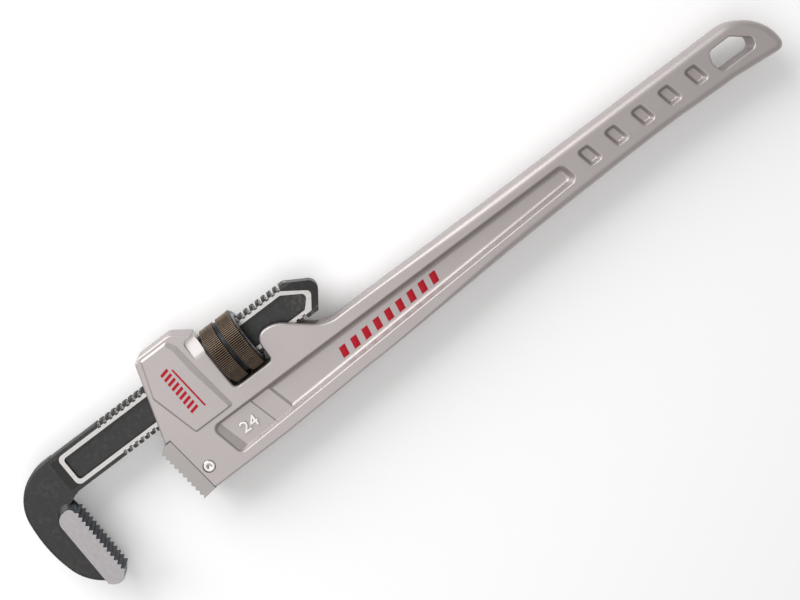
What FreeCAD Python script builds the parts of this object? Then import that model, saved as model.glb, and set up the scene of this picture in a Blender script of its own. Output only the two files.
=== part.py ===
"""Adjustable pipe wrench, 24 inch size, with an aluminium handle and steel jaws.

Design frame, in millimetres: X runs along the hook jaw's shank towards the handle's end, Y runs
towards the back of the jaws, and Z is the thickness. Its origin is the middle of the adjusting nut,
on the shank's axis. The finished pieces are then moved so that the wrench lies on Z = 0 with the
middle of its outline over the origin.
"""
import FreeCAD, Part
import math
import os

V = FreeCAD.Vector

# Overall outline, measured from the nut's centre.
HOOK_BACK = -191.8
HANDLE_TIP = 433.4
HOOK_LOW = -84.9
HOUSING_TOP = 34.9

# Hook jaw.
SHANK_R = 16.0            # thread crest radius, half the shank's width
THREAD_PITCH = 5.08       # five threads to the inch
THREAD_DEPTH = 2.8
SHANK_HALF = 6.5          # half thickness over the ground rim
PLATE_HALF = 6.1          # half thickness of the forged plate beside the rim
RIM_OUT = 12.4            # the rim's outer edge, from the axis
RIM_IN = 9.3              # the recess's edge, from the axis
RECESS_DEPTH = 2.4
PAD_HALF = 11.5           # half thickness of the toothed head
PAD_BACK = -172.4
HOOK_TEETH_X = -158.8     # plane of the hook jaw's tooth tips
TOOTH_PITCH = 3.96
TOOTH_DEPTH = 2.3
HOOK_TEETH = 14
HOOK_TEETH_TOP = -25.1
THREAD_START = -108.4
THREAD_TURNS = 32

# Adjusting nut.
NUT_R = 22.5
NUT_HALF = 14.0
NUT_CHAMFER = 1.8
NUT_GROOVE_HALF = 1.3
NUT_GROOVE_DEPTH = 1.3
THREAD_CLEARANCE = 0.35

# Handle and housing.
HEAD_HALF = 11.5          # half thickness of the housing's side walls and of the handle
BLOCK_HALF = 12.6         # half thickness over the raised housing panel
SLOT_HALF = 7.0           # half width of the passage for the shank
PASSAGE_TOP = 19.6
PASSAGE_LOW = -19.6
CAVITY_TOP = 29.0
WINDOW_LEFT = -15.2
WINDOW_RIGHT = 17.1
WINDOW_FLOOR = -22.9
NECK_X = 80.0             # where the head ends and the grip's shoulders begin
GRIP_TOP = -26.4
GRIP_LOW = ((80.0, -67.5), (100.0, -66.8), (145.0, -65.0), (215.0, -62.2), (300.0, -60.0), (345.0, -59.7),
            (385.0, -60.9))    # the grip's lower edge
GRIP_SECTIONS = 16
GRIP_SHOULDER = 5.4
SHOULDER_FULL = 215.0      # from here on the shoulders have their full radius
TIP_START = 385.0
EDGE_R = 1.6
MOUTH_R = 1.1             # rounding of the edges round each recess and hole
CHANNEL_DEPTH = 5.6
LABEL_DEPTH = 3.8         # shallower floor at the channel's head end
LABEL_SLANT = 14.0
STEP_RISE = 1.1
CHANNEL_DRAFT = 3.2       # how far its walls slope inwards
CHANNEL_FLOOR_R = 3.0
RAMP_HEIGHT = 3.0         # the slope at the channel's head end
RAMP_RUN = 8.0
FACET_TILT = 11.0
DIMPLES = 5
DIMPLE_DEPTH = 4.2
DIMPLE_DRAFT = 2.1
DIMPLE_FLOOR_R = 1.1
DIMPLE_PITCH = 22.9

# Heel jaw and its pin.
SEAT_TOP = (-73.8, -25.7)
SEAT_LOW = (-69.4, -71.3)
HEEL_TIP_TOP = (-85.2, -29.6)
HEEL_TIP_LOW = (-81.3, -72.6)
HEEL_TEETH = 10
PIN_X, PIN_Y = -64.0, -56.2
PIN_R = 4.65
PIN_FIT = 0.03
TONGUE_HALF = 5.0
TONGUE_DEPTH = 15.0
TONGUE_FIT = 0.1

# Springs inside the housing.
LEAF_THICK = 0.9
LEAF_HALF = 4.5
LEAF_LEFT, LEAF_RIGHT = -58.0, -24.0
LEAF_ARCH = 2.6
COIL_X = -41.0
COIL_R = 4.4
WIRE_R = 0.75
COIL_TURNS = 4
RIVET_R = 1.7

# Placement of the finished wrench.
CENTRE_X = (HOOK_BACK + HANDLE_TIP) / 2
CENTRE_Y = (HOOK_LOW + HOUSING_TOP) / 2
TO_ROW = V(-CENTRE_X, -CENTRE_Y, NUT_R)


def rounded_loop(corners, z):
    """Closed wire at height z from (x, y, radius) corners: straight sides and tangent arcs."""
    edges = []
    joints = []
    count = len(corners)
    for i, (x, y, radius) in enumerate(corners):
        here = V(x, y, z)
        before = V(corners[i - 1][0], corners[i - 1][1], z)
        after = V(corners[(i + 1) % count][0], corners[(i + 1) % count][1], z)
        if radius <= 0:
            joints.append((here, None, here))
            continue
        u = (before - here).normalize()
        w = (after - here).normalize()
        half = math.acos(max(-1.0, min(1.0, u.dot(w)))) / 2
        reach = radius / math.tan(half)
        middle = here + (u + w).normalize() * (radius / math.sin(half) - radius)
        joints.append((here + u * reach, middle, here + w * reach))
    for i, (start, middle, end) in enumerate(joints):
        if middle is not None:
            edges.append(Part.Arc(start, middle, end).toShape())
        following = joints[(i + 1) % count][0]
        if (following - end).Length > 1e-6:
            edges.append(Part.makeLine(end, following))
    return Part.Wire(edges)


def prism(corners, low, high):
    face = Part.Face(rounded_loop(corners, low))
    return face.extrude(V(0, 0, high - low))


def box(x0, x1, y0, y1, z0, z1):
    return Part.makeBox(x1 - x0, y1 - y0, z1 - z0, V(x0, y0, z0))


def mirrored(shape):
    return shape.mirror(V(0, 0, 0), V(0, 0, 1))


def one_solid(shape):
    """The largest solid of a boolean's result, with coplanar faces merged."""
    tidy = shape.removeSplitter()
    return max(tidy.Solids, key=lambda solid: solid.Volume)


def round_edges(shape, radius, wanted):
    """Fillet the edges that wanted() picks, or leave the shape alone if they can't be rounded."""
    edges = [edge for edge in shape.Edges if wanted(edge)]
    if not edges:
        return shape
    try:
        rounded = shape.makeFillet(radius, edges)
    except Part.OCCError:
        print("edges left sharp:", len(edges), "at radius", radius)
        return shape
    if rounded.isValid() and rounded.Volume > 0 and len(rounded.Solids) == 1:
        return rounded.Solids[0]
    print("rounding refused:", len(edges), "edges at radius", radius)
    return shape


def at_height(edge, z, slack=1e-4):
    return abs(edge.BoundBox.ZMin - z) < slack and abs(edge.BoundBox.ZMax - z) < slack


def encloses(corners, edge, slack=0.6):
    """Whether an edge lies within the box of an outline's corners."""
    bounds = edge.BoundBox
    xs = [corner[0] for corner in corners]
    ys = [corner[1] for corner in corners]
    level = bounds.XMin > min(xs) - slack and bounds.XMax < max(xs) + slack
    return level and bounds.YMin > min(ys) - slack and bounds.YMax < max(ys) + slack


def inset(corners, distance, tighter):
    """The outline with each side moved inwards, for corners listed clockwise, and its radii cut down."""
    moved = []
    count = len(corners)
    for i, (x, y, radius) in enumerate(corners):
        before = V(corners[i - 1][0], corners[i - 1][1], 0)
        after = V(corners[(i + 1) % count][0], corners[(i + 1) % count][1], 0)
        along_in = (V(x, y, 0) - before).normalize()
        along_out = (after - V(x, y, 0)).normalize()
        normal_in = V(along_in.y, -along_in.x, 0)
        normal_out = V(along_out.y, -along_out.x, 0)
        shift = (normal_in + normal_out) * (distance / (1 + normal_in.dot(normal_out)))
        moved.append((x + shift.x, y + shift.y, max(0.8, radius - tighter)))
    return moved


def pocket(corners, top, floor, draft, floor_radius):
    """A cutter for a pocket with sloping walls, from its outline at top to a smaller floor."""
    over = 0.5
    upper = inset(corners, -draft * over / (top - floor), 0)
    lower = inset(corners, draft, draft / 2)
    cutter = Part.makeLoft([rounded_loop(upper, top + over), rounded_loop(lower, floor)], True, True)
    return round_edges(cutter, floor_radius, lambda edge: at_height(edge, floor))


# ---------------------------------------------------------------- handle

def head_outline():
    """Housing, nut window, shank fork and neck, up to the plane where the grip begins."""
    return [(SEAT_LOW[0], SEAT_LOW[1], 0),
            (SEAT_TOP[0], SEAT_TOP[1], 0),
            (-79.0, -25.7, 1.0),
            (-60.0, 32.4, 4.0),
            (-56.0, HOUSING_TOP, 3.0),
            (-29.0, HOUSING_TOP, 8.0),
            (-16.4, 25.6, 4.0),
            (WINDOW_LEFT, 20.0, 4.0),
            (WINDOW_LEFT, WINDOW_FLOOR, 3.5),
            (WINDOW_RIGHT, WINDOW_FLOOR, 3.0),
            (WINDOW_RIGHT, -2.4, 8.5),
            (33.6, -2.4, 20.0),
            (62.0, GRIP_TOP, 26.0),
            (NECK_X, GRIP_TOP, 0),
            (NECK_X, GRIP_LOW[0][1], 0),
            (NECK_X - 8.0, GRIP_LOW[0][1], 200.0),
            (-6.0, -70.8, 200.0)]


def shoulder_section(x, low, radius):
    """The grip's cross-section: a flat bar with broad round shoulders."""
    half = HEAD_HALF
    top = GRIP_TOP
    diagonal = radius * (1 - math.sqrt(0.5))
    corner = [(top, half - radius, top - diagonal, half - diagonal, top - radius, half),
              (low + radius, half, low + diagonal, half - diagonal, low, half - radius),
              (low, radius - half, low + diagonal, diagonal - half, low + radius, -half),
              (top - radius, -half, top - diagonal, diagonal - half, top, radius - half)]
    edges = []
    for i, (y0, z0, ym, zm, y1, z1) in enumerate(corner):
        edges.append(Part.Arc(V(x, y0, z0), V(x, ym, zm), V(x, y1, z1)).toShape())
        following = corner[(i + 1) % 4]
        edges.append(Part.makeLine(V(x, y1, z1), V(x, following[0], following[1])))
    return Part.Wire(edges)


def smooth_through(points, x):
    """Height at x of a smooth curve through (x, y) points that is level at both ends."""
    last = len(points) - 1
    slopes = [0.0] + [(points[i + 1][1] - points[i - 1][1]) / (points[i + 1][0] - points[i - 1][0])
                      for i in range(1, last)] + [0.0]
    i = 0
    while i < last - 1 and x > points[i + 1][0]:
        i += 1
    span = points[i + 1][0] - points[i][0]
    t = (x - points[i][0]) / span
    rise = t * t * (3 - 2 * t)
    height = points[i][1] * (1 - rise) + points[i + 1][1] * rise
    return height + span * t * (1 - t) * (slopes[i] * (1 - t) - slopes[i + 1] * t)


def grip_solid():
    """The grip's bar: its lower edge tapers and its shoulders grow rounder away from the head."""
    wires = []
    for i in range(GRIP_SECTIONS + 1):
        x = NECK_X + (TIP_START - NECK_X) * i / GRIP_SECTIONS
        radius = smooth_through(((NECK_X, EDGE_R), (SHOULDER_FULL, GRIP_SHOULDER)), min(x, SHOULDER_FULL))
        wires.append(shoulder_section(x, smooth_through(GRIP_LOW, x), radius))
    return Part.makeLoft(wires, True, True)


def tip_solid():
    """The grip's end, whose top edge curves down to the tip."""
    low = GRIP_LOW[-1][1]
    corners = [(TIP_START, low, 0), (TIP_START, GRIP_TOP, 0),
               (HANDLE_TIP - 24.7, GRIP_TOP, 26.0), (HANDLE_TIP - 1.7, -38.0, 34.0),
               (HANDLE_TIP + 0.4, -64.9, 5.6), (TIP_START + 7.0, low, 60.0)]
    bar = prism(corners, -HEAD_HALF, HEAD_HALF)

    def rim(edge):
        flat = at_height(edge, HEAD_HALF) or at_height(edge, -HEAD_HALF)
        return flat and edge.BoundBox.XMax > TIP_START + 0.01

    return round_edges(bar, GRIP_SHOULDER, rim)


def channel_corners():
    """The long web recess: level at the top, and drawn in with the tapering lower edge."""
    return [(-46.3, -35.4, 5.0), (259.6, -35.4, 5.5), (263.6, -51.0, 5.0), (-40.6, -63.2, 5.0)]


def dimple_corners(index):
    x = 278.9 + DIMPLE_PITCH * index
    return [(x - 7.0, -35.2, 2.6), (x + 3.2, -35.2, 2.6), (x + 7.0, -49.4, 2.6), (x - 3.4, -49.4, 2.6)]


def hang_hole_corners():
    return [(386.6, -34.9, 4.0), (384.0, -43.0, 5.0), (387.0, -51.7, 4.0), (415.2, -51.7, 4.0),
            (416.6, -44.6, 3.0), (404.6, -34.9, 5.0)]


def label_steps(floor):
    """What stays of the channel at its head end: a slope, a level for the size numerals and a lower step."""
    label = HEAD_HALF - LABEL_DEPTH
    ramp_foot = -35.6
    profile = [V(-60, 0, floor - 1), V(6.6, 0, floor - 1), V(6.6, 0, floor - 0.01),
               V(4.6, 0, floor + STEP_RISE), V(-9.4, 0, floor + STEP_RISE), V(-10.4, 0, label),
               V(ramp_foot, 0, label), V(ramp_foot - RAMP_RUN, 0, label + RAMP_HEIGHT),
               V(-60, 0, label + RAMP_HEIGHT)]
    steps = Part.Face(Part.makePolygon([point + V(0, -80, 0) for point in profile + profile[:1]]))
    steps = steps.extrude(V(0, 60, 0))
    steps.rotate(V(-9.4, -50, 0), V(0, 0, 1), LABEL_SLANT)
    return steps


def window_facet():
    """A cutter for the sloping facet on the housing's side, between the raised panel and the window."""
    facet = prism([(-25.0, 15.5, 3.5), (0, 15.5, 0), (0, -30, 0), (-25.0, -30, 0)], 0, 10)
    facet.rotate(V(0, 0, 0), V(1, 0, 0), -FACET_TILT)
    facet.translate(V(0, 9.0, HEAD_HALF))
    return facet


def raised_panel():
    """The thicker panel on the housing's side, with a sloping border."""
    foot = [(-55.6, 32.2, 2.0), (-65.4, 5.6, 4.0), (-56.2, -31.6, 2.0), (-23.0, -31.6, 2.0),
            (-27.0, 6.0, 30.0), (-29.0, 26.0, 3.0), (-33.0, 32.2, 3.0)]
    brow = [(-54.8, 30.8, 1.2), (-63.8, 5.6, 3.4), (-55.2, -30.2, 1.2), (-26.6, -30.2, 1.2),
            (-32.0, 6.0, 28.0), (-33.2, 24.0, 2.0), (-35.6, 30.8, 0.8)]
    loops = [rounded_loop(foot, HEAD_HALF - 0.05), rounded_loop(brow, BLOCK_HALF)]
    return Part.makeLoft(loops, True, True)


def make_handle():
    head = prism(head_outline(), -HEAD_HALF, HEAD_HALF)

    def rim(edge):
        if not (at_height(edge, HEAD_HALF) or at_height(edge, -HEAD_HALF)):
            return False
        on_neck = edge.BoundBox.XMin > NECK_X - 0.01
        on_seat = edge.BoundBox.XMax < SEAT_LOW[0] + 0.01 and edge.BoundBox.YMax < SEAT_TOP[1] + 0.01
        return not on_neck and not on_seat

    head = round_edges(head, EDGE_R, rim)
    solid = head.fuse([grip_solid(), tip_solid()])
    solid = one_solid(solid)
    panel = raised_panel()
    solid = one_solid(solid.fuse([panel, mirrored(panel)]))
    solid = round_edges(solid, 0.6, lambda edge: at_height(edge, BLOCK_HALF) or at_height(edge, -BLOCK_HALF))

    floor = HEAD_HALF - CHANNEL_DEPTH
    channel = pocket(channel_corners(), HEAD_HALF, floor, CHANNEL_DRAFT, CHANNEL_FLOOR_R)
    channel = channel.cut(label_steps(floor))
    cutters = [channel, window_facet()]
    for index in range(DIMPLES):
        corners = dimple_corners(index)
        cutters.append(pocket(corners, HEAD_HALF, HEAD_HALF - DIMPLE_DEPTH, DIMPLE_DRAFT, DIMPLE_FLOOR_R))
    cutters += [mirrored(cutter) for cutter in cutters]
    cutters.append(prism(hang_hole_corners(), -20, 20))
    solid = one_solid(solid.cut(cutters))

    mouths = [channel_corners(), hang_hole_corners()]
    mouths += [dimple_corners(index) for index in range(DIMPLES)]
    for corners in mouths:
        for z in (HEAD_HALF, -HEAD_HALF):
            solid = round_edges(solid, MOUTH_R, lambda edge: at_height(edge, z) and encloses(corners, edge))

    passage = box(-95, WINDOW_LEFT + 1, PASSAGE_LOW, PASSAGE_TOP, -SLOT_HALF, SLOT_HALF)
    cavity = box(LEAF_LEFT - 3.0, LEAF_RIGHT + 3.0, 0, CAVITY_TOP, -SLOT_HALF + 0.8, SLOT_HALF - 0.8)
    fork = box(WINDOW_RIGHT - 1, 92, WINDOW_FLOOR, 8, -SLOT_HALF, SLOT_HALF)
    relief = Part.makeCylinder(NUT_R + 1.2, WINDOW_RIGHT - WINDOW_LEFT - 0.6, V(WINDOW_LEFT + 0.3, 0, 0),
                               V(1, 0, 0))
    pin_hole = Part.makeCylinder(PIN_R + PIN_FIT, 4 * HEAD_HALF, V(PIN_X, PIN_Y, -2 * HEAD_HALF))
    solid = solid.cut([passage, cavity, fork, relief, pin_hole, heel_tongue(TONGUE_FIT)])
    return one_solid(solid)


# ---------------------------------------------------------------- heel jaw

def seat_direction():
    along = V(SEAT_LOW[0] - SEAT_TOP[0], SEAT_LOW[1] - SEAT_TOP[1], 0).normalize()
    return along, V(-along.y, along.x, 0)


def heel_tongue(fit):
    """The tongue behind the toothed block, or with a fit the slot that takes it."""
    along, inward = seat_direction()
    top = V(SEAT_TOP[0], SEAT_TOP[1], 0) + along * (8.0 - fit)
    low = V(SEAT_TOP[0], SEAT_TOP[1], 0) + along * (41.0 + fit)
    back = -inward * 1.0
    depth = inward * (TONGUE_DEPTH + fit)
    corners = [top + back, top + depth, low + depth, low + back]
    loop = Part.makePolygon([p + V(0, 0, -TONGUE_HALF - fit) for p in corners + corners[:1]])
    return Part.Face(loop).extrude(V(0, 0, 2 * (TONGUE_HALF + fit)))


def tooth_row(start, end, count, depth, lean):
    """Points of a saw-tooth edge from start to end, the tips on that line."""
    line = V(end[0] - start[0], end[1] - start[1], 0)
    step = line * (1.0 / count)
    inward = V(-line.y, line.x, 0).normalize() * depth
    points = []
    for i in range(count):
        points.append(V(start[0], start[1], 0) + step * i)
        points.append(V(start[0], start[1], 0) + step * (i + lean) + inward)
    points.append(V(end[0], end[1], 0))
    return points


def make_heel_jaw():
    teeth = tooth_row(HEEL_TIP_TOP, HEEL_TIP_LOW, HEEL_TEETH, 1.7, 0.55)
    outline = [V(SEAT_TOP[0], SEAT_TOP[1], 0), V(-79.6, -25.9, 0)] + teeth \
        + [V(SEAT_LOW[0], SEAT_LOW[1], 0)]
    loop = Part.makePolygon([p + V(0, 0, -HEAD_HALF) for p in outline + outline[:1]])
    block = Part.Face(loop).extrude(V(0, 0, 2 * HEAD_HALF))
    jaw = block.fuse(heel_tongue(0.0))
    hole = Part.makeCylinder(PIN_R + PIN_FIT, 4 * HEAD_HALF, V(PIN_X, PIN_Y, -2 * HEAD_HALF))
    return one_solid(jaw.cut(hole))


def make_heel_pin():
    """A turned pin, flush with both sides, with a centre-drilled face at each end."""
    pin = Part.makeCylinder(PIN_R, 2 * HEAD_HALF, V(PIN_X, PIN_Y, -HEAD_HALF))
    pin = round_edges(pin, 1.3, lambda edge: at_height(edge, HEAD_HALF) or at_height(edge, -HEAD_HALF))
    centre = Part.makeCone(0.2, 2.2, 1.7, V(PIN_X, PIN_Y, HEAD_HALF - 1.7))
    return pin.cut([centre, mirrored(centre)])


# ---------------------------------------------------------------- hook jaw

def hook_plate(half):
    """Shank and hook in one flat forging, tips of the head left out."""
    z = -half
    back = [Part.makeLine(V(54.0, SHANK_R, z), V(-157.0, SHANK_R, z)),
            Part.Arc(V(-157.0, SHANK_R, z), V(-180.0, 6.2, z), V(-190.6, -16.0, z)).toShape(),
            Part.Arc(V(-190.6, -16.0, z), V(-191.75, -37.0, z), V(-189.3, -55.4, z)).toShape(),
            Part.Arc(V(-189.3, -55.4, z), V(-184.2, -68.2, z), V(-175.4, -77.8, z)).toShape(),
            Part.makeLine(V(-175.4, -77.8, z), V(-171.2, -81.3, z)),
            Part.Arc(V(-171.2, -81.3, z), V(-166.6, -84.1, z), V(-163.0, -84.6, z)).toShape(),
            Part.makeLine(V(-163.0, -84.6, z), V(-162.4, -19.6, z)),
            Part.Arc(V(-162.4, -19.6, z), V(-156.6, -18.4, z), V(-151.6, -SHANK_R, z)).toShape(),
            Part.makeLine(V(-151.6, -SHANK_R, z), V(63.2, -SHANK_R, z)),
            Part.makeLine(V(63.2, -SHANK_R, z), V(72.6, -3.2, z)),
            Part.Arc(V(72.6, -3.2, z), V(73.4, 2.0, z), V(69.6, 6.6, z)).toShape(),
            Part.makeLine(V(69.6, 6.6, z), V(54.0, SHANK_R, z))]
    return Part.Face(Part.Wire(back)).extrude(V(0, 0, 2 * half))


def hook_pad():
    """The thick toothed head of the hook."""
    z = -PAD_HALF
    tips = HOOK_TEETH_X
    low = HOOK_TEETH_TOP - HOOK_TEETH * TOOTH_PITCH
    end = HOOK_LOW + 0.6
    teeth = tooth_row((tips, low), (tips, HOOK_TEETH_TOP), HOOK_TEETH, -TOOTH_DEPTH, 0.5)
    points = [p + V(0, 0, z) for p in teeth]
    edges = [Part.makeLine(a, b) for a, b in zip(points, points[1:])]
    edges += [Part.makeLine(points[-1], V(tips, -23.4, z)),
              Part.Arc(V(tips, -23.4, z), V(-160.3, -20.9, z), V(-164.0, -20.2, z)).toShape(),
              Part.Arc(V(-164.0, -20.2, z), V(-169.7, -22.2, z), V(PAD_BACK, -27.6, z)).toShape(),
              Part.makeLine(V(PAD_BACK, -27.6, z), V(PAD_BACK, -80.3, z)),
              Part.makeLine(V(PAD_BACK, -80.3, z), V(-171.2, -81.3, z)),
              Part.Arc(V(-171.2, -81.3, z), V(-165.8, end - 0.3, z), V(-161.6, end, z)).toShape(),
              Part.makeLine(V(-161.6, end, z), points[0])]
    return Part.Face(Part.Wire(edges)).extrude(V(0, 0, 2 * PAD_HALF))


def pad_brow():
    """The slope that leads from the flat hook up to the top of the thick head."""
    foot = [(PAD_BACK, -40.0, 0), (PAD_BACK, -16.6, 9.0), (-157.2, -16.6, 5.0), (-159.0, -40.0, 0)]
    brow = [(PAD_BACK, -40.0, 0), (PAD_BACK, -20.2, 6.5), (-159.2, -20.2, 3.6), (-159.2, -40.0, 0)]
    loops = [rounded_loop(foot, PLATE_HALF - 0.2), rounded_loop(brow, PAD_HALF - 2.4)]
    return Part.makeLoft(loops, True, True)


def recess_corners(inward):
    """The web recess between the shank's rims, grown outwards for the rim's own outline."""
    left = -145.4 + inward
    side = RIM_OUT - inward
    slope = inward * 1.15
    return [(left, side, 4.2 - inward / 2), (left, -side, 4.2 - inward / 2),
            (59.9 - slope, -side, 1.2), (68.2 - slope * 1.05, -0.8, 3.4),
            (49.5 - inward * 0.3, side, 2.0)]


def groove_cutter(upward):
    """One turn's worth of thread groove, over the arc where the flat shank reaches the thread."""
    span = 80.0
    start = 90.0 - span / 2 if upward else 270.0 - span / 2
    root = SHANK_R - THREAD_DEPTH
    sections = []
    steps = 6
    for i in range(steps + 1):
        angle = math.radians(start + span * i / steps)
        along = THREAD_PITCH * (start + span * i / steps) / 360.0
        radial = V(0, math.sin(angle), math.cos(angle))
        outline = [(-1.65, SHANK_R + 0.9), (-1.15, root), (1.15, root), (1.65, SHANK_R + 0.9)]
        points = [V(along + dx, 0, 0) + radial * r for dx, r in outline]
        sections.append(Part.makePolygon(points + points[:1]))
    return Part.makeLoft(sections, True, False)


def make_hook_jaw():
    plate = hook_plate(PLATE_HALF)
    crest = Part.makeCylinder(SHANK_R, 230, V(-154, 0, 0), V(1, 0, 0))
    shank = plate.common(crest)
    hook = plate.cut(box(-150.0, 90, -40, 40, -20, 20))
    hook = round_edges(hook, 2.2, lambda edge: (at_height(edge, PLATE_HALF) or at_height(edge, -PLATE_HALF))
                       and edge.BoundBox.XMax < -150.01 and edge.BoundBox.XMin < -165.0
                       and edge.BoundBox.XMax < -162.3)
    rim = prism(recess_corners(0.0), -SHANK_HALF, SHANK_HALF)
    brow = pad_brow()
    solid = one_solid(hook.fuse([shank, hook_pad(), rim, brow, mirrored(brow)]))
    recess = prism(recess_corners(RIM_OUT - RIM_IN), SHANK_HALF - RECESS_DEPTH, SHANK_HALF + 1)
    cutters = [recess, mirrored(recess)]
    for upward in (True, False):
        cutter = groove_cutter(upward)
        for turn in range(THREAD_TURNS):
            copy = cutter.copy()
            copy.translate(V(THREAD_START + THREAD_PITCH * turn, 0, 0))
            cutters.append(copy)
    return one_solid(solid.cut(cutters))


# ---------------------------------------------------------------- adjusting nut

def nut_ridge():
    """The nut's internal thread: a ridge that follows the shank's groove with running clearance."""
    tip = SHANK_R - THREAD_DEPTH + THREAD_CLEARANCE
    root = SHANK_R + THREAD_CLEARANCE + 0.4
    turns = int(2 * NUT_HALF / THREAD_PITCH) - 1
    steps_per_turn = 12
    lead_in = round((-turns * THREAD_PITCH / 2 - THREAD_START) / THREAD_PITCH - 0.3)
    first = THREAD_START + THREAD_PITCH * lead_in
    sections = []
    for i in range(turns * steps_per_turn + 1):
        angle = math.radians(360.0 * i / steps_per_turn)
        along = first + THREAD_PITCH * i / steps_per_turn
        radial = V(0, math.sin(angle), math.cos(angle))
        outline = [(-1.25, root), (-0.75, tip), (0.75, tip), (1.25, root)]
        points = [V(along + dx, 0, 0) + radial * r for dx, r in outline]
        sections.append(Part.makePolygon(points + points[:1]))
    return Part.makeLoft(sections, True, False)


def make_nut():
    half, chamfer = NUT_HALF, NUT_CHAMFER
    groove, sink = NUT_GROOVE_HALF, NUT_GROOVE_DEPTH
    bore = SHANK_R + THREAD_CLEARANCE
    profile = [(-half, bore + 0.8), (-half, NUT_R - 2.6), (chamfer - half, NUT_R),
               (-groove - 0.5, NUT_R), (-groove, NUT_R - sink), (groove, NUT_R - sink),
               (groove + 0.5, NUT_R), (half - chamfer, NUT_R), (half, NUT_R - 2.6),
               (half, bore + 0.8), (half - 0.8, bore), (0.8 - half, bore)]
    points = [V(x, r, 0) for x, r in profile]
    body = Part.Face(Part.makePolygon(points + points[:1])).revolve(V(0, 0, 0), V(1, 0, 0), 360)
    return one_solid(body.fuse(nut_ridge()))


# ---------------------------------------------------------------- springs

def leaf_height(x):
    """Underside of the arched leaf, whose two ends ride on the shank's thread crests."""
    middle = (LEAF_LEFT + LEAF_RIGHT) / 2
    reach = (LEAF_RIGHT - LEAF_LEFT) / 2
    return SHANK_R + 0.25 + LEAF_ARCH * (1 - ((x - middle) / reach) ** 2)


def make_flat_spring():
    middle = (LEAF_LEFT + LEAF_RIGHT) / 2
    z = -LEAF_HALF
    under = Part.Arc(V(LEAF_LEFT, leaf_height(LEAF_LEFT), z), V(middle, leaf_height(middle), z),
                     V(LEAF_RIGHT, leaf_height(LEAF_RIGHT), z)).toShape()
    lift = V(0, LEAF_THICK, 0)
    over = Part.Arc(V(LEAF_LEFT, leaf_height(LEAF_LEFT), z) + lift, V(middle, leaf_height(middle), z) + lift,
                    V(LEAF_RIGHT, leaf_height(LEAF_RIGHT), z) + lift).toShape()
    ends = [Part.makeLine(V(x, leaf_height(x), z), V(x, leaf_height(x), z) + lift)
            for x in (LEAF_LEFT, LEAF_RIGHT)]
    loop = Part.Wire(Part.__sortEdges__([under, over] + ends))
    leaf = Part.Face(loop).extrude(V(0, 0, 2 * LEAF_HALF))
    hole = Part.makeCylinder(RIVET_R + PIN_FIT, 20, V(COIL_X, 10, 0), V(0, 1, 0))
    return one_solid(leaf.cut(hole))


def make_spring_rivet():
    """The rivet that joins the coil's lowest turn to the leaf."""
    leaf_top = leaf_height(COIL_X) + LEAF_THICK
    stem = Part.makeCylinder(RIVET_R, LEAF_THICK + 2.4, V(COIL_X, leaf_height(COIL_X) - 0.7, 0), V(0, 1, 0))
    head = Part.makeCylinder(3.2, 1.0, V(COIL_X, leaf_height(COIL_X) - 1.15, 0), V(0, 1, 0))
    collar = Part.makeCylinder(2.9, 1.1, V(COIL_X, leaf_top + 0.15, 0), V(0, 1, 0))
    return one_solid(stem.fuse([head, collar]))


def make_coil_spring():
    """A short compression spring between the leaf and the roof of the housing's cavity."""
    low = leaf_height(COIL_X) + LEAF_THICK + WIRE_R + 0.15
    high = CAVITY_TOP - WIRE_R - 0.15
    steps_per_turn = 16
    total = COIL_TURNS * steps_per_turn
    path = []
    for i in range(total + 1):
        angle = 2 * math.pi * i / steps_per_turn
        path.append(V(COIL_X + COIL_R * math.cos(angle), low + (high - low) * i / total,
                      COIL_R * math.sin(angle)))
    curve = Part.BSplineCurve()
    curve.interpolate(path)
    spine = Part.Wire(curve.toShape())
    tangent = curve.tangent(curve.FirstParameter)[0]
    ring = Part.Wire(Part.makeCircle(WIRE_R, path[0], tangent))
    return Part.Wire(spine).makePipeShell([ring], True, True)


def main():
    os.makedirs("parts", exist_ok=True)
    makers = {"handle": make_handle, "hook_jaw": make_hook_jaw, "adjusting_nut": make_nut,
              "heel_jaw": make_heel_jaw, "heel_jaw_pin": make_heel_pin,
              "flat_spring": make_flat_spring, "coil_spring": make_coil_spring,
              "spring_rivet": make_spring_rivet}
    for name, make in makers.items():
        shape = make()
        shape.translate(TO_ROW)
        bounds = shape.BoundBox
        print(name, "valid" if shape.isValid() else "INVALID", len(shape.Solids), "solid,",
              round(shape.Volume / 1000, 2), "cm3, from",
              [round(v, 2) for v in (bounds.XMin, bounds.YMin, bounds.ZMin)], "to",
              [round(v, 2) for v in (bounds.XMax, bounds.YMax, bounds.ZMax)])
        shape.exportStep(os.path.join("parts", name + ".step"))


main()
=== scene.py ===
"""Looks of a pipe wrench: finishes, knurled nut, size numerals, red marks, light and camera.

Places on the wrench are measured in millimetres from the nut's centre, which lies on the shank's
axis: along the shank towards the handle's tip, across towards the back of the jaws, and out
through the thickness.
"""

import math

import bpy
from mathutils import Matrix, Vector


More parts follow.
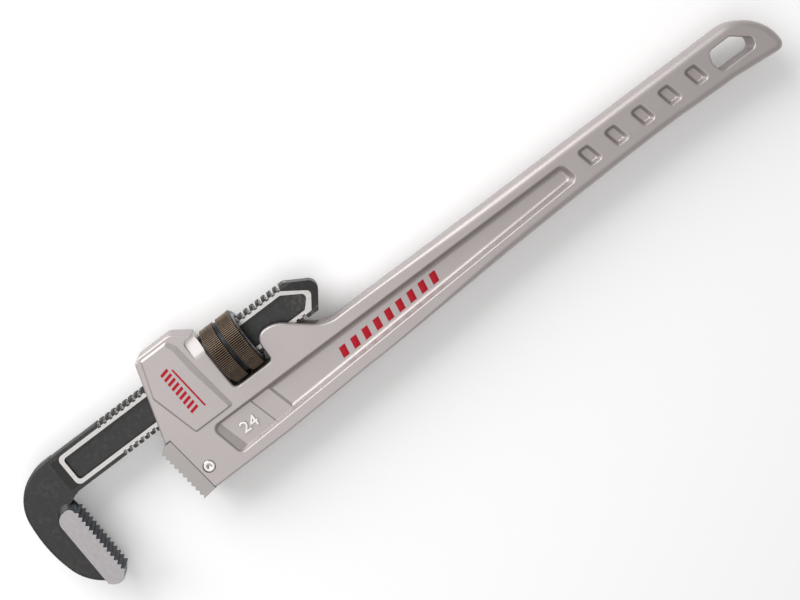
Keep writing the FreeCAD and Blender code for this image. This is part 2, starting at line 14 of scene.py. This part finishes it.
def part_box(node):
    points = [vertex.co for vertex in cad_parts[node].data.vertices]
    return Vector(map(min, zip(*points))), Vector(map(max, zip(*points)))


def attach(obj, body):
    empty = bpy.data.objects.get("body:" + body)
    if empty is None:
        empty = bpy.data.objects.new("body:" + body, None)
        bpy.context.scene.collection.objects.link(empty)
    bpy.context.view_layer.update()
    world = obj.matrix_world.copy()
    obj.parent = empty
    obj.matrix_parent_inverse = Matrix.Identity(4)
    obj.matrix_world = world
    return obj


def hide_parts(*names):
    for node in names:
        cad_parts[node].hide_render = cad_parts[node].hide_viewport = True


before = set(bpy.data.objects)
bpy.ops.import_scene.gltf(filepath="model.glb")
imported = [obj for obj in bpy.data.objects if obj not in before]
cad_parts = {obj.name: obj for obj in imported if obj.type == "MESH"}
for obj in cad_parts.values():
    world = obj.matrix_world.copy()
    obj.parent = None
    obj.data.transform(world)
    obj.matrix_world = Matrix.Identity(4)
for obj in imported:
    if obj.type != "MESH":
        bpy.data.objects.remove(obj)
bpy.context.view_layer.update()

MM = 0.001

nut_low, nut_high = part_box("adjusting_nut")
NUT_CENTRE = (nut_low + nut_high) / 2

# nut
NUT_R = (nut_high.y - nut_low.y) / 2
NUT_HALF = (nut_high.x - nut_low.x) / 2
NUT_CHAMFER = 1.8 * MM
NUT_CHAMFER_DROP = 2.6 * MM
KNURL_LINES = 96
KNURL_DEPTH = 0.50 * MM
KNURL_ROW = 1.05 * MM
KNURL_ROW_SHARE = 0.12        # height of the rows against the lines
KNURL_FADE = 0.6 * MM
KNURL_STEPS = 6               # mesh steps round each line
BAND_ROWS = 40                # mesh rows along each knurled band
BORE_ROWS = 84
GROOVE_HALF = 1.3 * MM
GROOVE_DEPTH = 1.3 * MM
GROOVE_FLANK = 0.5 * MM
THREAD_PITCH = 5.08 * MM
THREAD_PHASE = -1.72 * MM     # where a ridge's middle crosses the side that faces up
RIDGE_TIP = 13.55 * MM
RIDGE_ROOT = 16.75 * MM
RIDGE_HALF = 1.25 * MM        # half width at its root
RIDGE_FLANK = 0.5 * MM
RIDGE_END = 11.0 * MM
RIDGE_RUNOUT = 1.5 * MM

# hook jaw and shank, in millimetres
SHANK_R = 16.0
RIM_FACE = 6.5
PLATE_FACE = 6.1
RECESS_FLOOR = 4.1
RECESS_HALF = 12.0
PAD_FACE = 11.5
SHANK_START = -152.0
THREAD_START = -110.5
THREAD_END = 57.5
TOOTH_TIP = -157.0
TOOTH_ROOT = -163.4
TAIL_START = 44.0

# heel jaw's seat: along + SEAT_SLANT * across + SEAT_OFFSET is 0 on it
SEAT_SLANT = 4.4 / 45.6
SEAT_OFFSET = 73.8 + SEAT_SLANT * 25.7

# handle: half thicknesses over its levels, and the numerals and bars that stand on them, in millimetres
WALL_FACE = 11.5
PANEL_FACE = 12.6
CHANNEL_FLOOR = 5.9
LABEL_FLOOR = 7.7
NUMERALS_AT = (-23.6, -49.6)
NUMERALS_SIZE = (13.5, 8.5, 1.1)
NUMERALS_SINK = 0.12
BARS = 9
BAR_SINK = 0.15
BAR_SHOULDER = 0.18
BAR_HEIGHT = 0.25
BAR_CHAMFER = 0.25
CHANNEL_BAR_AT = (57.2, -53.4)
CHANNEL_BAR_PITCH = 10.15
CHANNEL_BAR_CLIMB = 0.040
PANEL_BAR_AT = (-50.6, 15.2)
PANEL_BAR_PITCH = 4.05

# camera and stage
CAMERA_AT = (0.0328, 0.1705, 1.1030)
CAMERA_AIM = (-0.0078, -0.0204, 0.0225)
CAMERA_UP = math.radians(53.16)    # direction on the floor that is up in the picture
CAMERA_LENS = 70.2


def at(along, across, out):
    """A point given in millimetres from the nut's centre."""
    return NUT_CENTRE + Vector((along, across, out)) * MM


# ---------------------------------------------------------------- material nodes

class Shader:
    """A principled material and short calls that add nodes to it."""

    def __init__(self, name, metallic, roughness, colour):
        self.material = bpy.data.materials.new(name)
        self.material.use_nodes = True
        self.tree = self.material.node_tree
        self.surface = self.tree.nodes["Principled BSDF"]
        self.surface.inputs["Metallic"].default_value = metallic
        self.surface.inputs["Roughness"].default_value = roughness
        self.surface.inputs["Base Color"].default_value = (*colour, 1)
        self.material.diffuse_color = (*colour, 1)
        place = self.node("ShaderNodeTexCoord")
        shift = self.node("ShaderNodeMapping")
        shift.inputs["Location"].default_value = -NUT_CENTRE / MM
        shift.inputs["Scale"].default_value = (1 / MM, 1 / MM, 1 / MM)
        self.link(place.outputs["Object"], shift.inputs["Vector"])
        self.place = shift.outputs["Vector"]
        split = self.node("ShaderNodeSeparateXYZ")
        self.link(self.place, split.inputs[0])
        self.along, self.across, self.out = split.outputs
        self.bumps = None

    def node(self, kind):
        return self.tree.nodes.new(kind)

    def link(self, source, target):
        self.tree.links.new(source, target)

    def math(self, operation, a, b=None, c=None):
        """One math node on sockets or numbers."""
        step = self.node("ShaderNodeMath")
        step.operation = operation
        for socket, value in zip(step.inputs, (a, b, c)):
            if value is None:
                continue
            if isinstance(value, (int, float)):
                socket.default_value = value
            else:
                self.link(value, socket)
        return step.outputs[0]

    def rise(self, value, start, end):
        """0 below start and 1 above end, smooth between them; start may be the larger one."""
        step = self.node("ShaderNodeMapRange")
        step.interpolation_type = "SMOOTHSTEP"
        flipped = start > end
        step.inputs["From Min"].default_value = min(start, end)
        step.inputs["From Max"].default_value = max(start, end)
        step.inputs["To Min"].default_value = 1.0 if flipped else 0.0
        step.inputs["To Max"].default_value = 0.0 if flipped else 1.0
        self.link(value, step.inputs["Value"])
        return step.outputs["Result"]

    def both(self, *masks):
        """Where every mask is 1."""
        result = masks[0]
        for mask in masks[1:]:
            result = self.math("MULTIPLY", result, mask)
        return result

    def either(self, *masks):
        """Where at least one mask is 1."""
        result = masks[0]
        for mask in masks[1:]:
            result = self.math("MAXIMUM", result, mask)
        return result

    def from_axis(self):
        """Distance from the shank's axis."""
        across = self.math("MULTIPLY", self.across, self.across)
        out = self.math("MULTIPLY", self.out, self.out)
        return self.math("SQRT", self.math("ADD", across, out))

    def noise(self, size, detail=2.0, stretch=None, rough=0.5):
        """Noise whose blobs are about size millimetres across."""
        texture = self.node("ShaderNodeTexNoise")
        texture.inputs["Scale"].default_value = 1 / size
        texture.inputs["Detail"].default_value = detail
        texture.inputs["Roughness"].default_value = rough
        source = self.place
        if stretch is not None:
            pull = self.node("ShaderNodeMapping")
            pull.inputs["Scale"].default_value = stretch
            self.link(source, pull.inputs["Vector"])
            source = pull.outputs["Vector"]
        self.link(source, texture.inputs["Vector"])
        return texture.outputs["Fac"]

    def mix(self, factor, a, b):
        """Colour a where factor is 0 and b where it is 1."""
        blend = self.node("ShaderNodeMix")
        blend.data_type = "RGBA"
        if isinstance(factor, (int, float)):
            blend.inputs["Factor"].default_value = factor
        else:
            self.link(factor, blend.inputs["Factor"])
        slots = [s for s in blend.inputs if s.type == "RGBA"]
        for socket, value in zip(slots, (a, b)):
            if isinstance(value, tuple):
                socket.default_value = (*value, 1)
            else:
                self.link(value, socket)
        return [s for s in blend.outputs if s.type == "RGBA"][0]

    def colour(self, source):
        self.link(source, self.surface.inputs["Base Color"])

    def vary(self, name, source, low, high):
        """Drives one of the surface's inputs between low and high by a 0 to 1 source."""
        step = self.node("ShaderNodeMapRange")
        step.inputs["To Min"].default_value = low
        step.inputs["To Max"].default_value = high
        self.link(source, step.inputs["Value"])
        self.link(step.outputs["Result"], self.surface.inputs[name])

    def bump(self, height, depth, strength=1.0):
        """Adds a bump of depth millimetres."""
        step = self.node("ShaderNodeBump")
        step.inputs["Strength"].default_value = strength
        step.inputs["Distance"].default_value = depth * MM
        self.link(height, step.inputs["Height"])
        if self.bumps is not None:
            self.link(self.bumps, step.inputs["Normal"])
        self.bumps = step.outputs["Normal"]
        self.link(self.bumps, self.surface.inputs["Normal"])


def cast_alloy():
    """Bead-blasted casting: warm light grey, a fine grain, faint clouds and a painted highlight on the
    sloped face by the nut.
    """
    s = Shader("cast_alloy", 0.78, 0.46, (0.60, 0.565, 0.555))
    grain = s.noise(0.55, 3.0, rough=0.65)
    cloud = s.noise(26.0, 3.0)
    tint = s.mix(cloud, (0.405, 0.370, 0.363), (0.455, 0.417, 0.409))
    tint = s.mix(s.math("MULTIPLY", s.rise(grain, 0.35, 0.75), 0.22), tint, (0.52, 0.483, 0.475))
    # painted highlight: the sloped face beside the nut is coloured near white, standing in for the light
    # it reflects
    painted_facet_highlight = s.both(s.rise(s.along, -25.2, -24.4), s.rise(s.along, -14.6, -15.4),
                   s.rise(s.across, 7.0, 13.0), s.rise(s.across, 24.8, 23.8),
                   s.rise(s.math("ABSOLUTE", s.out), WALL_FACE - 0.2, WALL_FACE - 0.6))
    s.colour(s.mix(s.math("MULTIPLY", painted_facet_highlight, 0.8), tint, (0.74, 0.71, 0.70)))
    s.vary("Roughness", grain, 0.40, 0.54)
    s.bump(grain, 0.035, 0.8)
    s.bump(s.noise(1.7, 3.0, rough=0.6), 0.10, 0.5)
    return s.material


def dark_forging():
    """Charcoal coated forging, bright on the web's rim, in the thread's roots and on the head's sides."""
    s = Shader("dark_forging", 0.25, 0.42, (0.028, 0.028, 0.028))
    height = s.math("ABSOLUTE", s.out)
    reach = s.from_axis()
    along_shank = s.rise(s.along, SHANK_START, SHANK_START + 0.4)
    rim = s.both(s.rise(height, PLATE_FACE + 0.15, PLATE_FACE + 0.3), along_shank)
    threaded = s.both(s.rise(s.along, THREAD_START, THREAD_START + 1.0),
                      s.rise(s.along, THREAD_END, THREAD_END - 1.0))
    edge = s.rise(s.math("ABSOLUTE", s.across), 12.2, 12.7)
    groove = s.both(threaded, edge, s.rise(reach, SHANK_R - 1.0, SHANK_R - 1.5),
                    s.rise(height, PLATE_FACE - 0.03, PLATE_FACE - 0.12))
    head_side = s.both(s.rise(height, PAD_FACE - 0.12, PAD_FACE - 0.05),
                       s.rise(s.along, SHANK_START + 2.0, SHANK_START + 1.0))
    scratch = s.noise(1.1, 3.0, (0.25, 1.0, 1.0), rough=0.6)
    worn = s.rise(s.noise(3.2, 4.0, rough=0.65), 0.42, 0.62)
    bright = s.either(rim, s.both(groove, s.rise(scratch, 0.28, 0.42)), head_side)
    teeth = s.both(s.rise(s.along, TOOTH_ROOT, TOOTH_ROOT + 0.8),
                   s.rise(s.along, TOOTH_TIP, TOOTH_TIP - 0.6),
                   s.rise(height, PAD_FACE - 0.1, PAD_FACE - 0.3),
                   s.rise(s.across, -20.0, -21.5))
    grain = s.noise(0.8, 3.0)
    coat = s.mix(grain, (0.012, 0.012, 0.012), (0.026, 0.026, 0.026))
    scale = s.rise(s.noise(3.6, 5.0, rough=0.7), 0.48, 0.66)
    coat = s.mix(s.math("MULTIPLY", scale, 0.45), coat, (0.050, 0.048, 0.042))
    tail = s.both(s.rise(s.along, TAIL_START, TAIL_START + 16.0), worn)
    coat = s.mix(s.math("MULTIPLY", tail, 0.6), coat, (0.105, 0.092, 0.080))
    # painted shade: the walls of the web's recess are coloured near black, standing in for the shade
    # inside the recess
    painted_recess_shade = s.both(s.rise(height, RECESS_FLOOR + 0.05, RECESS_FLOOR + 0.2),
                  s.rise(height, RIM_FACE - 0.1, RIM_FACE - 0.2), along_shank,
                  s.rise(s.math("ABSOLUTE", s.across), RECESS_HALF, RECESS_HALF - 0.2))
    coat = s.mix(s.math("MULTIPLY", painted_recess_shade, 0.85), coat, (0.004, 0.004, 0.004))
    coat = s.mix(s.math("MULTIPLY", teeth, 0.8), coat, (0.125, 0.145, 0.168))
    steel = s.mix(scratch, (0.40, 0.385, 0.375), (0.60, 0.585, 0.57))
    steel = s.mix(s.math("MULTIPLY", s.both(groove, worn), 0.55), steel, (0.10, 0.095, 0.09))
    lay = s.noise(0.8, 3.0, (1.0, 0.2, 1.0), rough=0.6)
    steel = s.mix(head_side, steel, s.mix(lay, (0.27, 0.255, 0.26), (0.42, 0.40, 0.405)))
    s.colour(s.mix(bright, coat, steel))
    s.vary("Metallic", s.either(bright, s.math("MULTIPLY", teeth, 0.8)), 0.25, 0.92)
    s.vary("Roughness", s.math("ADD", s.math("MULTIPLY", bright, -0.35), s.math("MULTIPLY", grain, 0.3)),
           0.38, 0.62)
    s.bump(grain, 0.03, 0.6)
    s.bump(scratch, 0.02, 0.5)
    return s.material


def bronzed_steel():
    """Dark bronze-brown knurled steel, near black in the groove, with painted shade between the knurl's
    lines and painted glints on its crests.
    """
    s = Shader("bronzed_steel", 0.85, 0.36, (0.11, 0.088, 0.07))
    reach = s.from_axis()
    side = s.math("ABSOLUTE", s.along)
    patch = s.noise(2.2, 4.0, rough=0.6)
    brown = s.mix(s.rise(patch, 0.3, 0.7), (0.010, 0.008, 0.007), (0.072, 0.052, 0.038))
    # painted highlight: the knurl's crests are coloured lighter tan, standing in for glints
    painted_crest_glint = s.rise(reach, (NUT_R - KNURL_DEPTH) / MM + 0.18, NUT_R / MM - 0.02)
    # painted shade: the valleys between the knurl's lines are coloured near black
    painted_valley_shade = s.both(s.rise(reach, NUT_R / MM - 0.22, (NUT_R - KNURL_DEPTH) / MM + 0.02),
                    s.rise(side, NUT_HALF / MM - 2.2, NUT_HALF / MM - 2.6), s.rise(side, 2.0, 2.3))
    brown = s.mix(s.math("MULTIPLY", painted_crest_glint, 0.65), brown, (0.165, 0.120, 0.083))
    brown = s.mix(s.math("MULTIPLY", painted_valley_shade, 0.95), brown, (0.003, 0.0025, 0.002))
    groove = s.rise(side, 1.9, 1.3)
    brown = s.mix(groove, brown, (0.016, 0.017, 0.019))
    end = s.both(s.rise(s.along, NUT_HALF / MM - 0.9, NUT_HALF / MM - 0.3),
                 s.rise(s.noise(5.0, 3.0), 0.30, 0.55))
    s.colour(s.mix(s.math("MULTIPLY", end, 0.8), brown, (0.40, 0.42, 0.45)))
    s.vary("Roughness", patch, 0.28, 0.50)
    s.bump(s.noise(0.5, 2.0), 0.02, 0.5)
    return s.material


def grey_steel():
    """Matte machined steel of the fixed jaw, with painted shade in a thin dark band along its seat on the
    handle.
    """
    s = Shader("grey_steel", 0.85, 0.48, (0.42, 0.40, 0.39))
    grain = s.noise(0.7, 3.0, rough=0.6)
    lay = s.noise(0.9, 2.0, (1.0, 0.12, 1.0))
    grey = s.mix(grain, (0.31, 0.288, 0.280), (0.43, 0.402, 0.390))
    grey = s.mix(s.math("MULTIPLY", lay, 0.35), grey, (0.45, 0.422, 0.410))
    from_seat = s.math("ADD", s.along, s.math("MULTIPLY_ADD", s.across, SEAT_SLANT, SEAT_OFFSET))
    # painted shade: a thin band where the jaw meets the handle is coloured nearly black, standing in for
    # the shade in the gap
    painted_seat_shade = s.rise(from_seat, -0.9, -0.3)
    s.colour(s.mix(s.math("MULTIPLY", painted_seat_shade, 0.85), grey, (0.03, 0.028, 0.027)))
    s.vary("Roughness", grain, 0.42, 0.56)
    s.bump(lay, 0.02, 0.5)
    return s.material


def bright_steel():
    """Turned steel with a fine grain."""
    s = Shader("bright_steel", 1.0, 0.24, (0.62, 0.60, 0.59))
    grain = s.noise(0.6, 2.0)
    s.colour(s.mix(grain, (0.50, 0.485, 0.475), (0.68, 0.66, 0.65)))
    s.vary("Roughness", grain, 0.18, 0.32)
    s.bump(grain, 0.012, 0.4)
    return s.material


def spring_steel():
    """Oiled blue-grey spring steel."""
    s = Shader("spring_steel", 1.0, 0.30, (0.30, 0.31, 0.33))
    drawn = s.noise(0.7, 2.0, (0.15, 1.0, 1.0))
    s.colour(s.mix(drawn, (0.22, 0.23, 0.25), (0.38, 0.39, 0.41)))
    s.vary("Roughness", drawn, 0.24, 0.38)
    s.bump(drawn, 0.01, 0.4)
    return s.material


def red_paint():
    """Satin red enamel, slightly uneven."""
    s = Shader("red_paint", 0.0, 0.42, (0.40, 0.002, 0.012))
    s.surface.inputs["Specular IOR Level"].default_value = 0.2
    flow = s.noise(1.4, 3.0)
    s.colour(s.mix(flow, (0.34, 0.001, 0.009), (0.44, 0.003, 0.016)))
    s.vary("Roughness", flow, 0.34, 0.50)
    s.bump(flow, 0.02, 0.5)
    return s.material


def numeral_alloy():
    """The casting's alloy, with a painted highlight on the numerals' top faces and painted shade, near
    black, at their feet.
    """
    s = Shader("numeral_alloy", 0.75, 0.42, (0.70, 0.68, 0.67))
    grain = s.noise(0.5, 3.0)
    face = s.mix(grain, (0.64, 0.62, 0.61), (0.84, 0.82, 0.81))
    # painted highlight and painted shade: near black at the numerals' feet and bright on their top faces,
    # set by height
    raised = s.rise(s.math("ABSOLUTE", s.out), LABEL_FLOOR + 0.45, LABEL_FLOOR + 0.85)
    s.colour(s.mix(raised, (0.085, 0.078, 0.075), face))
    s.vary("Roughness", grain, 0.36, 0.50)
    s.bump(grain, 0.02, 0.5)
    return s.material


# ---------------------------------------------------------------- knurled nut

def knurl(along, turn):
    """Height of the knurl, from -1 to 0, at a distance from the nut's middle and a turn from 0 to 1."""
    lines = math.cos(2 * math.pi * KNURL_LINES * turn)
    rows = math.cos(2 * math.pi * along / KNURL_ROW)
    crests = min(1.0, 1.6 * max(-1.0, lines))
    return 0.5 * (crests + KNURL_ROW_SHARE * rows) / (1 + KNURL_ROW_SHARE) - 0.5


def outer_radius(along, turn):
    """The nut's outside: two knurled bands, a groove between them and a chamfer at each end."""
    from_middle = abs(along)
    from_end = NUT_HALF - from_middle
    band_start = GROOVE_HALF + GROOVE_FLANK
    if from_middle < GROOVE_HALF:
        return NUT_R - GROOVE_DEPTH
    if from_middle < band_start:
        return NUT_R - GROOVE_DEPTH * (band_start - from_middle) / GROOVE_FLANK
    if from_end < NUT_CHAMFER:
        return NUT_R - NUT_CHAMFER_DROP * (1 - from_end / NUT_CHAMFER)
    fade = min(1.0, (from_middle - band_start) / KNURL_FADE, (from_end - NUT_CHAMFER) / KNURL_FADE)
    return NUT_R + KNURL_DEPTH * knurl(along, turn) * max(0.0, fade)


def bore_radius(along, turn):
    """The nut's inside, whose thread ridge runs in the shank's groove."""
    phase = (along - THREAD_PHASE - THREAD_PITCH * turn) / THREAD_PITCH
    from_ridge = abs(phase - round(phase)) * THREAD_PITCH
    ridge = max(0.0, min(1.0, (RIDGE_HALF - from_ridge) / RIDGE_FLANK))
    fade = max(0.0, min(1.0, (RIDGE_END - abs(along)) / RIDGE_RUNOUT))
    return RIDGE_ROOT - (RIDGE_ROOT - RIDGE_TIP) * ridge * fade


def make_nut():
    """The nut as one closed ring of mesh: along its outside, and back through its threaded bore."""
    around = KNURL_LINES * KNURL_STEPS
    groove_edge = GROOVE_HALF + GROOVE_FLANK
    band = NUT_HALF - NUT_CHAMFER - groove_edge
    stations = [groove_edge + band * i / BAND_ROWS for i in range(BAND_ROWS + 1)]
    stations += [NUT_HALF - NUT_CHAMFER / 2, NUT_HALF]
    stations = [-s for s in reversed(stations)] + [-GROOVE_HALF, GROOVE_HALF] + stations
    inner = [NUT_HALF - 2 * NUT_HALF * i / BORE_ROWS for i in range(BORE_ROWS + 1)]

    rings = [("outer", s) for s in stations] + [("bore", s) for s in inner]
    verts = []
    for kind, along in rings:
        for step in range(around):
            turn = step / around
            radius = outer_radius(along, turn) if kind == "outer" else bore_radius(along, turn)
            angle = 2 * math.pi * turn
            verts.append(NUT_CENTRE + Vector((along, radius * math.sin(angle), radius * math.cos(angle))))
    faces = []
    for ring in range(len(rings)):
        following = (ring + 1) % len(rings)
        for step in range(around):
            beside = (step + 1) % around
            faces.append((ring * around + step, ring * around + beside,
                          following * around + beside, following * around + step))
    return piece_from("knurled_nut", verts, faces, bronzed_steel(), "nut", 40)


# ---------------------------------------------------------------- pieces

def piece_from(name, verts, faces, material, body, crease_degrees):
    """A new mesh piece that rides on a body, smooth except where it turns more sharply than the crease."""
    mesh = bpy.data.meshes.new(name)
    mesh.from_pydata([tuple(v) for v in verts], [], faces)
    mesh.validate()
    mesh.materials.append(material)
    piece = bpy.data.objects.new(name, mesh)
    bpy.context.scene.collection.objects.link(piece)
    smooth(piece, crease_degrees)
    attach(piece, body)
    return piece


def smooth(piece, crease_degrees):
    piece.data.shade_smooth()
    piece.data.set_sharp_from_angle(angle=math.radians(crease_degrees))


def paint(node, material):
    """Gives a CAD node its finish."""
    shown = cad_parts[node]
    shown.data.materials.clear()
    shown.data.materials.append(material)


def raised_bar(name, corners, floor, side, material):
    """A thin raised bar with chamfered edges on the handle's side; side is 1 above and -1 below."""
    middle = sum((Vector(c) for c in corners), Vector((0, 0))) / len(corners)
    loops = []
    for inset, lift in ((0.0, -BAR_SINK), (0.0, BAR_SHOULDER), (BAR_CHAMFER, BAR_HEIGHT)):
        loop = []
        for corner in corners:
            offset = Vector(corner) - middle
            reach = offset.length
            place = middle + offset * ((reach - inset) / reach)
            loop.append(at(place.x, place.y, side * (floor + lift)))
        loops.append(loop)
    count = len(corners)
    verts = [v for loop in loops for v in loop]
    faces = []
    for level in range(len(loops) - 1):
        for i in range(count):
            j = (i + 1) % count
            faces.append((level * count + i, level * count + j,
                          (level + 1) * count + j, (level + 1) * count + i))
    faces.append(tuple(range((len(loops) - 1) * count, len(loops) * count)))
    faces.append(tuple(reversed(range(count))))
    if side < 0:
        faces = [tuple(reversed(face)) for face in faces]
    return piece_from(name, verts, faces, material, "handle", 30)


def make_marks(paint_red):
    """Plain red bars where the casting carries painted lettering."""
    for side, tag in ((1, "front"), (-1, "back")):
        start, foot = CHANNEL_BAR_AT
        for i in range(BARS):
            left = start + CHANNEL_BAR_PITCH * i
            low = foot + CHANNEL_BAR_CLIMB * (left - start)
            high = low + 8.0
            corners = [(left, low), (left + 5.2, low + 0.2), (left + 6.6, high + 0.2), (left + 1.4, high)]
            raised_bar(f"channel_bar_{tag}_{i}", corners, CHANNEL_FLOOR, side, paint_red)
        start, top = PANEL_BAR_AT
        for i in range(BARS):
            low = top - PANEL_BAR_PITCH * i
            left = start + 0.10 * i
            right = left + 6.6
            corners = [(left, low - 1.6), (right, low - 0.2), (right, low + 2.0), (left, low + 0.6)]
            raised_bar(f"panel_bar_{tag}_{i}", corners, PANEL_FACE, side, paint_red)
        corners = [(-42.2, 14.0), (-41.0, 14.0), (-38.4, -19.6), (-39.6, -19.6)]
        raised_bar(f"panel_line_{tag}", corners, PANEL_FACE, side, paint_red)


def make_numerals(material):
    """The size, 24, raised on the channel's shallow end on both sides."""
    for side, tag in ((1, "front"), (-1, "back")):
        curve = bpy.data.curves.new(f"numerals_{tag}", "FONT")
        curve.body = "24"
        curve.size = 1.0
        curve.extrude = 0.035
        curve.bevel_depth = 0.024
        curve.bevel_resolution = 2
        curve.resolution_u = 8
        curve.offset = -0.008
        text = bpy.data.objects.new(f"numerals_{tag}_text", curve)
        bpy.context.scene.collection.objects.link(text)
        bpy.context.view_layer.update()
        mesh = bpy.data.meshes.new_from_object(text.evaluated_get(bpy.context.evaluated_depsgraph_get()))
        bpy.data.objects.remove(text)
        xs = [v.co.x for v in mesh.vertices]
        ys = [v.co.y for v in mesh.vertices]
        zs = [v.co.z for v in mesh.vertices]
        spans = [max(values) - min(values) for values in (xs, ys, zs)]
        middle = Vector(((max(xs) + min(xs)) / 2, (max(ys) + min(ys)) / 2, min(zs)))
        size = Matrix.Diagonal([wanted * MM / span for wanted, span in zip(NUMERALS_SIZE, spans)] + [1])
        turn = Matrix.Identity(4) if side > 0 else Matrix.Rotation(math.pi, 4, "Y")
        place = Matrix.Translation(at(*NUMERALS_AT, side * (LABEL_FLOOR - NUMERALS_SINK)))
        mesh.transform(place @ turn @ size @ Matrix.Translation(-middle))
        mesh.materials.clear()
        mesh.materials.append(material)
        piece = bpy.data.objects.new(f"numerals_{tag}", mesh)
        bpy.context.scene.collection.objects.link(piece)
        smooth(piece, 35)
        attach(piece, "handle")


# ---------------------------------------------------------------- stage

def area_light(name, place, aim, size, watts):
    data = bpy.data.lights.new(name, "AREA")
    data.shape = "RECTANGLE"
    data.size, data.size_y = size
    data.energy = watts
    light = bpy.data.objects.new(name, data)
    light.location = place
    light.rotation_euler = (Vector(aim) - Vector(place)).to_track_quat("-Z", "Y").to_euler()
    bpy.context.scene.collection.objects.link(light)


def make_stage():
    """A white floor, a plain bright world, a large key behind the wrench and a panel over the jaws."""
    scene = bpy.context.scene
    scene.view_settings.view_transform = "Standard"
    world = bpy.data.worlds.new("studio")
    world.use_nodes = True
    world.node_tree.nodes["Background"].inputs["Color"].default_value = (1.0, 0.99, 0.985, 1)
    world.node_tree.nodes["Background"].inputs["Strength"].default_value = 0.50
    scene.world = world

    mesh = bpy.data.meshes.new("floor")
    half = 6.0
    corners = [(-half, -half, 0), (half, -half, 0), (half, half, 0), (-half, half, 0)]
    mesh.from_pydata(corners, [], [(0, 1, 2, 3)])
    floor_material = bpy.data.materials.new("floor")
    floor_material.use_nodes = True
    shader = floor_material.node_tree.nodes["Principled BSDF"]
    shader.inputs["Base Color"].default_value = (0.93, 0.93, 0.93, 1)
    shader.inputs["Roughness"].default_value = 0.9
    mesh.materials.append(floor_material)
    floor = bpy.data.objects.new("floor", mesh)
    scene.collection.objects.link(floor)

    area_light("key", (-0.55, 1.55, 0.95), (-0.05, 0, 0), (2.0, 1.5), 42)
    area_light("top", (-0.62, -0.20, 1.9), (-0.40, -0.10, 0), (1.6, 1.6), 9.0)


def make_camera():
    """The camera, turned about its line of sight so that the handle runs up to the right."""
    data = bpy.data.cameras.new("camera")
    data.lens = CAMERA_LENS
    data.sensor_width = 36.0
    camera = bpy.data.objects.new("camera", data)
    forward = (Vector(CAMERA_AIM) - Vector(CAMERA_AT)).normalized()
    up = Vector((math.cos(CAMERA_UP), math.sin(CAMERA_UP), 0))
    right = forward.cross(up).normalized()
    up = right.cross(forward)
    turn = Matrix((right, up, -forward)).transposed().to_4x4()
    camera.matrix_world = Matrix.Translation(CAMERA_AT) @ turn
    bpy.context.scene.collection.objects.link(camera)
    bpy.context.scene.camera = camera


# ---------------------------------------------------------------- build

alloy = cast_alloy()
paint("handle", alloy)
paint("hook_jaw", dark_forging())
paint("adjusting_nut", bronzed_steel())
paint("heel_jaw", grey_steel())
bright = bright_steel()
paint("heel_jaw_pin", bright)
paint("spring_rivet", bright)
spring = spring_steel()
paint("flat_spring", spring)
paint("coil_spring", spring)

nut = make_nut()
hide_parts("adjusting_nut")
make_numerals(numeral_alloy())
make_marks(red_paint())
make_stage()
make_camera()
